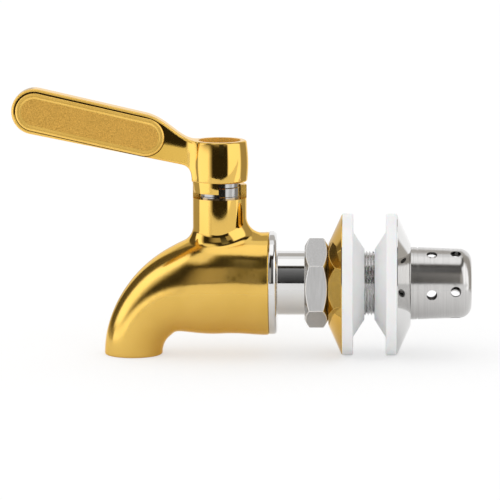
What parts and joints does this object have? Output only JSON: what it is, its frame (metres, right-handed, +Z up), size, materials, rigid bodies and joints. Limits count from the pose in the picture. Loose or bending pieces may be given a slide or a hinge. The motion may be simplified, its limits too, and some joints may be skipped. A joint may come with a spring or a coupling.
{
  "type": "beverage dispenser spigot",
  "caption": "Gold quarter-turn dispenser spigot with a curved spout, flat lever handle, ball valve, wall clamp seals and a perforated strainer cap.",
  "frame": {"origin": "on the tail pipe's axis, in the plane where the outer seal's face meets the dispenser's wall", "axes": "+X along the tail pipe into the dispenser, +Z up along the lever's axis, -Y towards the viewer of the picture"},
  "size_m": [0.1135, 0.0352, 0.0663],
  "materials": {
    "gold_steel": "polished gold coating",
    "frosted_gold_steel": "bead-blasted gold coating",
    "polished_steel": "polished",
    "brushed_steel": "brushed",
    "white_silicone": "satin",
    "seat_plastic": "smooth",
    "black_rubber": "satin"
  },
  "bodies": {
    "spigot": {"spout_body": "gold_steel", "front_seat": "seat_plastic", "rear_seat": "seat_plastic", "thrust_washer": "seat_plastic", "stem_packing": "seat_plastic", "gland_nut": "polished_steel", "tail_pipe": "polished_steel", "tail_o_ring": "black_rubber"},
    "lever": {"handle": "gold_steel", "front_grip_plate": "frosted_gold_steel", "rear_grip_plate": "frosted_gold_steel", "lock_washer": "brushed_steel", "handle_screw": "brushed_steel", "spacer_ring": "polished_steel", "valve_stem": "brushed_steel", "stem_o_ring_lower": "black_rubber", "stem_o_ring_upper": "black_rubber", "valve_ball": "polished_steel"},
    "outer_clamp": {"outer_washer": "gold_steel", "outer_seal": "white_silicone"},
    "nut": {"hex_nut": "brushed_steel"},
    "inner_clamp": {"inner_washer": "polished_steel", "inner_seal": "white_silicone"},
    "strainer": {"strainer_cap": "brushed_steel"}
  },
  "joints": [
    {"name": "lever_turn", "type": "hinge", "parent": "spigot", "child": "lever", "pos_m": [-0.033, 0, 0], "axis": [0, 0, 1], "range_deg": [0, 90]},
    {"name": "outer_clamp_slide", "type": "slide", "parent": "spigot", "child": "outer_clamp", "axis": [1, 0, 0], "range_m": [0, 0.0023]},
    {"name": "nut_turn", "type": "hinge", "parent": "outer_clamp", "child": "nut", "pos_m": [-0.009, 0, 0], "axis": [1, 0, 0], "range_deg": [0, 1104]},
    {"name": "inner_clamp_slide", "type": "slide", "parent": "spigot", "child": "inner_clamp", "axis": [1, 0, 0], "range_m": [0, 0.003]},
    {"name": "strainer_turn", "type": "hinge", "parent": "inner_clamp", "child": "strainer", "pos_m": [0.0165, 0, 0], "axis": [1, 0, 0], "range_deg": [0, 1440]}
  ],
  "couplings": [
    {"joint": "outer_clamp_slide", "follows": "nut_turn", "m_per_rad": 0.00011936},
    {"joint": "inner_clamp_slide", "follows": "strainer_turn", "m_per_rad": 0.00011936}
  ]
}
